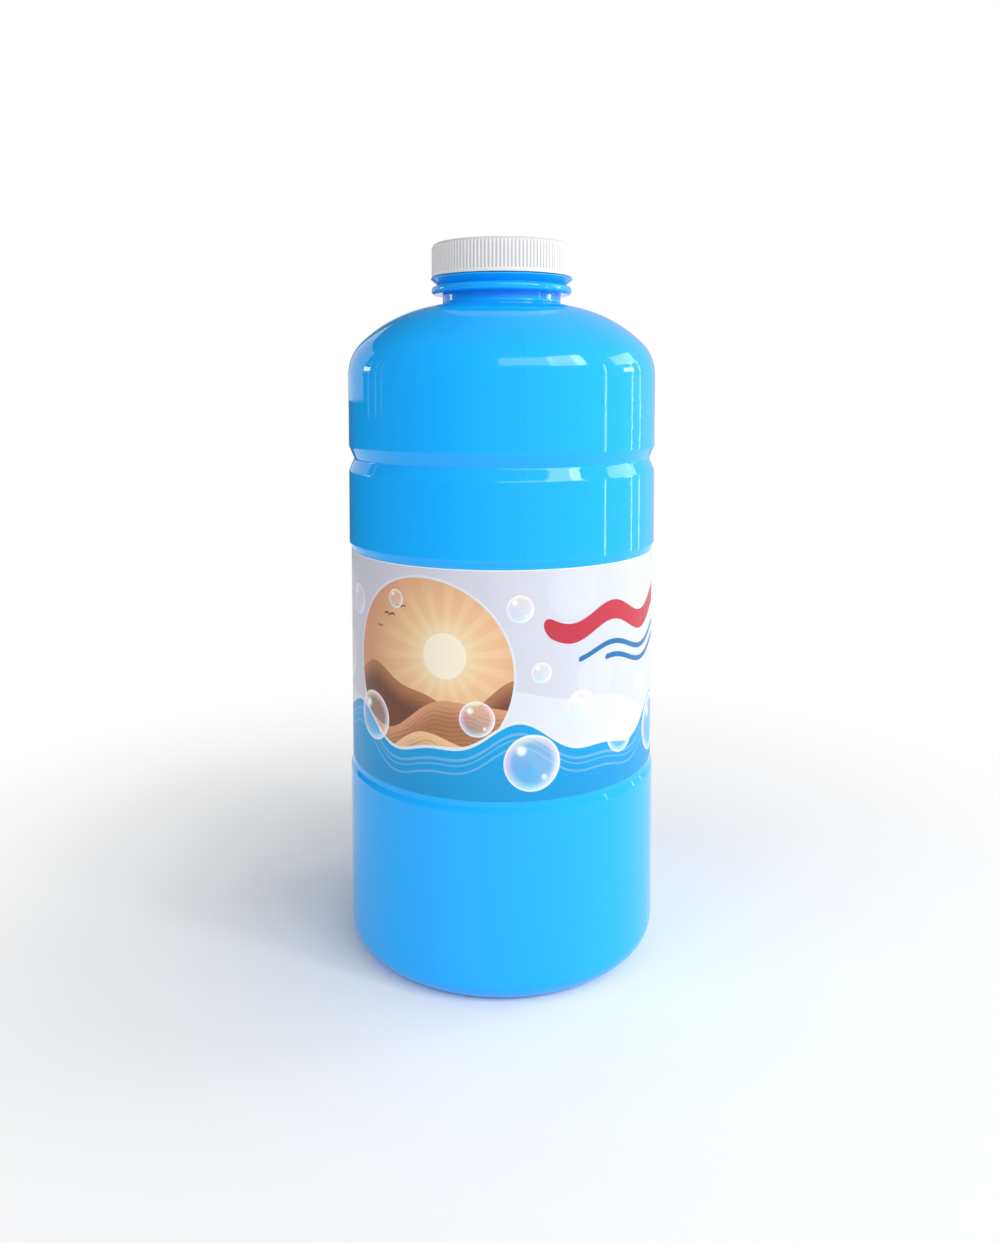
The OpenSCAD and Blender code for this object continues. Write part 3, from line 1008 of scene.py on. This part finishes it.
def printed_field(ink, film):
    """Pale field with a swell and faint round hazes, and painted light that makes it lighter
    towards the right.
    """
    # Painted light: the field is darkest at the left of the front and lightest round at the right
    turned = ink.scaled(ink.across, TURN / ink.around_mm, -0.6)
    painted_light_share = ink.scaled(ink.calc("SINE", turned), 0.5, 0.5)
    colour = ink.mix(painted_light_share, film.field, film.painted_lit_field)
    colour = ink.mix(ink.below(ink.wavy(*SWELL)), colour, film.crest, 0.75)
    for haze in HAZES:
        colour = ink.mix(ink.circle(*haze, 0.8), colour, film.crest, 0.3)
    return colour


def printed_sky(ink, film):
    """Sky that is lighter near the sun, with rays all round it and a glow close to it.

    A ray lies where the sine of the angle round the sun, times their number, is above 0.
    """
    sun_across, sun_up = ink.off(*SUN[:2])
    from_sun = ink.reach(sun_across, sun_up)
    sky = ink.mix(ink.step(from_sun, *SKY_FADE), film.sky, film.sun)
    turned = ink.times(ink.calc("ARCTAN2", sun_up, sun_across), SUN_RAYS)
    rays = ink.times(
        ink.step(ink.calc("SINE", turned), -0.2, 0.5), ink.step(from_sun, *RAY_FADE))
    sky = ink.mix(rays, sky, film.glow, 0.28)
    sky = ink.mix(ink.step(from_sun, *GLOW_FADE), sky, film.glow, 0.6)
    return ink.mix(ink.within(from_sun, SUN[2], PRINT_EDGE), sky, film.sun_core)


def printed_birds(ink, film, sky):
    """Birds of two arched wings: w spans from the middle, a wing is w * (1.1 - w) spans up."""
    for middle_across, middle_up, span in BIRDS:
        off_across, off_up = ink.off(middle_across, middle_up)
        wing = ink.calc("ABSOLUTE", ink.calc("DIVIDE", off_across, span))
        arch = ink.times(ink.minus(1.1, wing), wing)
        off_wing = ink.calc("ABSOLUTE", ink.minus(ink.calc("DIVIDE", off_up, span), arch))
        shown = ink.times(ink.within(off_wing, 0.11, 0.05), ink.within(wing, 1.0, 0.05))
        sky = ink.mix(shown, sky, film.bird)
    return sky


def printed_dunes(ink, film, sky):
    """Three dunes, from the farthest to the nearest, that darken downwards and carry ripples.

    A ripple lies where the sine of 4.2 times its bent depth is near 1. The bent depth is the
    depth below the ridge plus 0.7 times the sine of 0.45 times the place across.
    """
    for waves, middle, lit, shaded in (
            (((6, 5, 0.3), (13, 1.6, 1)), 35, film.sand, film.shade),
            (((5, 6, 2.6), (11, 1.5, 0.2)), 27, film.sky, film.sand),
            (((7, 4, 4.4), (12, 1.2, 2)), 17, film.sun, film.sky)):
        ridge = ink.wavy(waves, middle)
        under = ink.minus(ridge, ink.up)
        dune = ink.mix(ink.step(under, 0, 8), lit, shaded)
        bent = ink.scaled(ink.calc("SINE", ink.times(ink.across, 0.45)), 0.7, under)
        ripples = ink.step(ink.calc("SINE", ink.times(bent, 4.2)), 0.1, 0.9)
        ripples = ink.times(ripples, ink.step(under, 0.8, 4))
        dune = ink.mix(ripples, dune, film.shade, 0.35)
        sky = ink.mix(ink.below(ridge), sky, dune)
    return sky


def printed_wave(ink, film, colour):
    """Wave along the label's foot, with a pale crest and three pale lines in it."""
    wave = ink.wavy(*WAVE)
    colour = ink.mix(ink.below(ink.calc("ADD", wave, CREST_W)), colour, film.crest)
    deep = ink.mix(ink.step(ink.up, 20, 0), film.wave, film.deep_wave)
    for below, half_w in WAVE_LINES:
        off_line = ink.calc("ABSOLUTE", ink.minus(ink.minus(wave, below), ink.up))
        deep = ink.mix(ink.within(off_line, half_w, PRINT_EDGE), deep, film.crest, 0.18)
    return ink.mix(ink.below(wave), colour, deep)


def printed_stripes(ink, film, colour):
    """One thick and two thin stripes with round ends, whose waves are ripple high."""
    for middle_up, half_w, start, end, ripple, stripe_colour in (
            (57, 3.3, 17, 84, 3, film.stripe),
            (47, 0.9, 27, 84, 2.2, film.thin_line),
            (42.5, 0.9, 38, 84, 2.2, film.thin_line)):
        line = ink.wavy(((10, ripple, 0.5),), middle_up)
        from_middle = ink.calc("ABSOLUTE", ink.minus(ink.across, (start + end) / 2))
        past_end = ink.largest(ink.minus(from_middle, (end - start) / 2), 0)
        off_line = ink.reach(ink.minus(ink.up, line), past_end)
        colour = ink.mix(ink.within(off_line, half_w, PRINT_EDGE), colour, stripe_colour)
    return colour


def label_print(shape, film):
    """Printed satin film: pale field, sun over dunes, wave, wavy stripes and soap bubbles."""
    material, nodes = new_material("printed_film")
    ink = PrintTree(nodes.tree, shape, film)
    picture = printed_sky(ink, film)
    picture = printed_birds(ink, film, picture)
    picture = printed_dunes(ink, film, picture)
    in_field = ink.circle(*FIELD)
    colour = ink.mix(in_field, printed_field(ink, film), picture)
    in_rim = ink.circle(FIELD[0], FIELD[1], FIELD[2] + FIELD_RIM)
    colour = ink.mix(ink.minus(in_rim, in_field), colour, film.crest, 0.8)
    colour = printed_wave(ink, film, colour)
    colour = printed_stripes(ink, film, colour)
    bubble = bubble_group(film)
    for across, up, radius in BUBBLES:
        colour = ink.add("Group", {
            "Across": ink.across, "Up": ink.up, "Middle Across": across, "Middle Up": up,
            "Radius": radius, "Below": colour}, node_tree=bubble).outputs["Colour"]
    on_edge = ink.step(ink.up, ink.tall_mm - BARE_EDGE - 0.05, ink.tall_mm - BARE_EDGE + 0.05)
    colour = ink.mix(on_edge, colour, film.bare_edge)
    grain = ink.noise(ink.object_place(), FILM_GRAIN, 1)
    crease = ink.bump(ink.noise(ink.object_place(0.3), FILM_CREASES, 1), 0.03 * MM)
    ink.shaded(
        Base_Color=ink.mix(ink.step(grain, 0.3, 0.7), colour, film.speck, 0.035),
        Roughness=0.38, IOR=1.33, Normal=ink.bump(grain, 0.003 * MM, crease))
    return material


def floor_paint(stage):
    """Pale matt floor that turns to the white of the background away from the bottle."""
    material, nodes = new_material("floor_paint")
    from_axis = nodes.add(
        "VectorMath", {0: nodes.object_place()}, operation="LENGTH").outputs["Value"]
    seen = nodes.rays("Is Camera Ray", "Is Glossy Ray", "Is Transmission Ray")
    mixed = nodes.add("MixShader", {0: nodes.times(nodes.step(from_axis, *FLOOR_FADE), seen)})
    matt = nodes.add("BsdfDiffuse", {"Color": stage.floor_colour})
    white = nodes.add("Emission", {"Color": (1, 1, 1, 1), "Strength": 1.0})
    nodes.put(mixed.inputs[1], matt.outputs["BSDF"])
    nodes.put(mixed.inputs[2], white.outputs["Emission"])
    nodes.add("OutputMaterial", {"Surface": mixed.outputs["Shader"]})
    return material


def light_room(stage):
    """World that is soft grey on the left, lighter on the right, and white behind the bottle.

    The camera sees it white everywhere. Gloss and clear pieces see white only straight behind
    the bottle, and the room in every other direction.
    """
    world = bpy.data.worlds.new("studio_room")
    world.use_nodes = True
    nodes = NodeTree(world.node_tree)
    towards = nodes.add("SeparateXYZ", {"Vector": nodes.add("TexCoord").outputs["Generated"]})
    to_right = towards.outputs["X"]
    to_back = towards.outputs["Y"]
    room = nodes.scaled(
        nodes.step(to_right, -1.1, 1.05), stage.bright_side - stage.dark_side, stage.dark_side)
    back_left = nodes.times(nodes.step(to_back, 0.0, 0.6), nodes.step(to_right, 0.2, -0.4))
    room = nodes.times(room, nodes.scaled(back_left, -stage.back_shade, 1.0))
    behind = nodes.times(
        nodes.step(to_back, 0.93, 0.98), nodes.rays("Is Glossy Ray", "Is Transmission Ray"))
    strength = nodes.largest(room, nodes.rays("Is Camera Ray"), behind)
    background = nodes.add("Background", {"Color": (1, 1, 1, 1), "Strength": strength})
    nodes.add("OutputWorld", {"Surface": background.outputs["Background"]})
    bpy.context.scene.world = world


def studio_lamps(stage):
    """The soft lamps, the windows and the narrow strips that the bottle mirrors."""
    return [
        Lamp("key", 46, 27, 1.3, 0.46, 0.45, stage.key_light),
        Lamp("canopy", 18, 27, 1.4, 0.91, 0.42, 3.4),
        Lamp("glint", 60, 27, 1.25, 0.16, 0.42, 13.0),
        Lamp("right_fill", 65, 20, 1.3, 1.0, 0.9, 0.4, mirrored=False),
        Lamp("fill", -55, 20, 1.3, 1.0, 0.9, stage.fill_light, mirrored=False),
        Lamp("side_box", 104, 21, 1.3, 0.62, 0.3, 4.0),
        Lamp("window", -138, 13, 1.2, 0.83, 0.58, 0.8),
        Lamp("low_right", 104, 5, 1.2, 0.26, 0.1, 11.0, NECK_AIM),
        Lamp("low_left", -114, 5, 1.2, 0.2, 0.1, 7.0, NECK_AIM),
        *[Lamp("pane", side, 8, 0.6, 0.01, 0.2, 1.2) for side in (-109, -100, -93)],
        Lamp("strip_right", 77, 0, 0.6, 0.01, 0.36, 14.0, WALL_AIM),
        Lamp("strip_rear", 105.8, 0, 0.6, 0.008, 0.36, 12.0, WALL_AIM),
        Lamp("strip_far", 117, 0, 0.6, 0.007, 0.36, 8.0, WALL_AIM)]


def add_lamp(lamp):
    """Rectangular lamp that faces the bottle.

    Its power is pi * area * level, which makes its face level times as bright as white.
    """
    light = bpy.data.lights.new(lamp.name, "AREA")
    light.shape = "RECTANGLE"
    light.size = lamp.width
    light.size_y = lamp.tall
    light.energy = math.pi * lamp.width * lamp.tall * lamp.level
    turned = math.radians(lamp.side)
    lifted = math.radians(lamp.rise)
    towards = Vector((
        math.sin(turned) * math.cos(lifted), -math.cos(turned) * math.cos(lifted),
        math.sin(lifted)))
    placed = bpy.data.objects.new(lamp.name, light)
    placed.location = Vector((0, 0, lamp.aim_z)) + towards * lamp.far
    placed.rotation_euler = towards.to_track_quat("Z", "Y").to_euler()
    placed.visible_camera = False
    placed.visible_glossy = lamp.mirrored
    bpy.context.scene.collection.objects.link(placed)


def add_camera(stage):
    """Camera at the picture's place, angle and field of view."""
    data = bpy.data.cameras.new("camera")
    data.sensor_width = 36
    data.lens = data.sensor_width * stage.focal_px / PICTURE_H
    data.shift_x = (PICTURE_W / 2 - stage.centre_x) / PICTURE_H
    data.shift_y = (stage.centre_y - PICTURE_H / 2) / PICTURE_H
    data.clip_start = 10 * MM
    camera = bpy.data.objects.new("camera", data)
    camera.location = (0, -stage.camera_far, stage.camera_h)
    camera.rotation_euler = (QUARTER - stage.camera_dip, 0, 0)
    bpy.context.scene.collection.objects.link(camera)
    bpy.context.scene.camera = camera
    bpy.context.scene.view_settings.view_transform = "Standard"


class BuildBottle(bpy.types.Operator):
    """Builds the blown bottle with its thread and parting line."""

    bl_idname = "soap_bottle.bottle"
    bl_label = "Bottle"

    def execute(self, context):
        scene = context.scene
        bottle = make_bottle(scene.bottle_settings, thread_pitch())
        fitted(bottle, "bottle", "bottle", bottle_plastic(scene.bottle_settings))
        return {"FINISHED"}


class BuildLabel(bpy.types.Operator):
    """Builds the printed wrap-round label."""

    bl_idname = "soap_bottle.label"
    bl_label = "Label"

    def execute(self, context):
        scene = context.scene
        label = make_label(scene.bottle_settings, scene.label_settings)
        printed = label_print(scene.bottle_settings, scene.label_settings)
        fitted(label, "label", "bottle", printed)
        return {"FINISHED"}


class BuildCap(bpy.types.Operator):
    """Builds the ribbed screw cap."""

    bl_idname = "soap_bottle.cap"
    bl_label = "Cap"

    def execute(self, context):
        scene = context.scene
        cap = make_cap(scene.bottle_settings, scene.cap_settings, thread_pitch())
        fitted(cap, "cap", "cap", cap_plastic(scene.cap_settings))
        return {"FINISHED"}


class BuildDisc(bpy.types.Operator):
    """Builds the sealing disc."""

    bl_idname = "soap_bottle.disc"
    bl_label = "Sealing disc"

    def execute(self, context):
        scene = context.scene
        disc = make_disc(scene.bottle_settings, scene.disc_settings)
        fitted(disc, "cap_liner", "liner", disc_foam(scene.disc_settings))
        return {"FINISHED"}


class BuildSoap(bpy.types.Operator):
    """Builds the soap inside the bottle."""

    bl_idname = "soap_bottle.soap"
    bl_label = "Soap"

    def execute(self, context):
        scene = context.scene
        soap = make_soap(scene.bottle_settings, scene.soap_settings)
        fitted(soap, "liquid_soap", "bottle", soap_liquid(scene.soap_settings))
        return {"FINISHED"}


class BuildStage(bpy.types.Operator):
    """Builds the floor, the light and the camera."""

    bl_idname = "soap_bottle.stage"
    bl_label = "Stage"

    def execute(self, context):
        stage = context.scene.stage_settings
        angle = around(FLOOR_CORNERS)
        rim = np.column_stack((np.cos(angle), np.sin(angle), 0 * angle)) * stage.floor_d / 2
        floor = finished_piece("floor", rim, [list(range(len(angle)))])
        floor.data.materials.append(floor_paint(stage))
        light_room(stage)
        for lamp in studio_lamps(stage):
            add_lamp(lamp)
        add_camera(stage)
        return {"FINISHED"}


OPERATORS = (BuildBottle, BuildLabel, BuildCap, BuildDisc, BuildSoap, BuildStage)
SETTINGS = {
    "bottle_settings": BottleSettings,
    "label_settings": LabelSettings,
    "cap_settings": CapSettings,
    "disc_settings": DiscSettings,
    "soap_settings": SoapSettings,
    "stage_settings": StageSettings,
}


class SoapBottlePanel(bpy.types.Panel):
    """Lists the pieces of the soap bottle."""

    bl_idname = "VIEW3D_PT_soap_bottle"
    bl_label = "Liquid Soap Bottle"
    bl_space_type = "VIEW_3D"
    bl_region_type = "UI"
    bl_category = "Soap Bottle"

    def draw(self, context):
        for operator in OPERATORS:
            self.layout.operator(operator.bl_idname)


def thread_pitch():
    """Climb of the thread for each turn, from the frame's coupled joints."""
    coupling = frame["record"]["behaviour"]["couplings"][0]
    return coupling["ratio"] * TURN


def register():
    """Adds the classes and puts the settings on the scene."""
    for kind in (*SETTINGS.values(), *OPERATORS, SoapBottlePanel):
        bpy.utils.register_class(kind)
    for name, kind in SETTINGS.items():
        setattr(bpy.types.Scene, name, bpy.props.PointerProperty(type=kind))


def unregister():
    """Takes the settings off the scene and removes the classes."""
    for name in SETTINGS:
        delattr(bpy.types.Scene, name)
    for kind in (SoapBottlePanel, *reversed(OPERATORS), *reversed(SETTINGS.values())):
        bpy.utils.unregister_class(kind)


def main():
    """Builds every piece and the stage."""
    register()
    bpy.ops.soap_bottle.bottle()
    bpy.ops.soap_bottle.label()
    bpy.ops.soap_bottle.cap()
    bpy.ops.soap_bottle.disc()
    bpy.ops.soap_bottle.soap()
    bpy.ops.soap_bottle.stage()


if __name__ == "__main__":
    main()
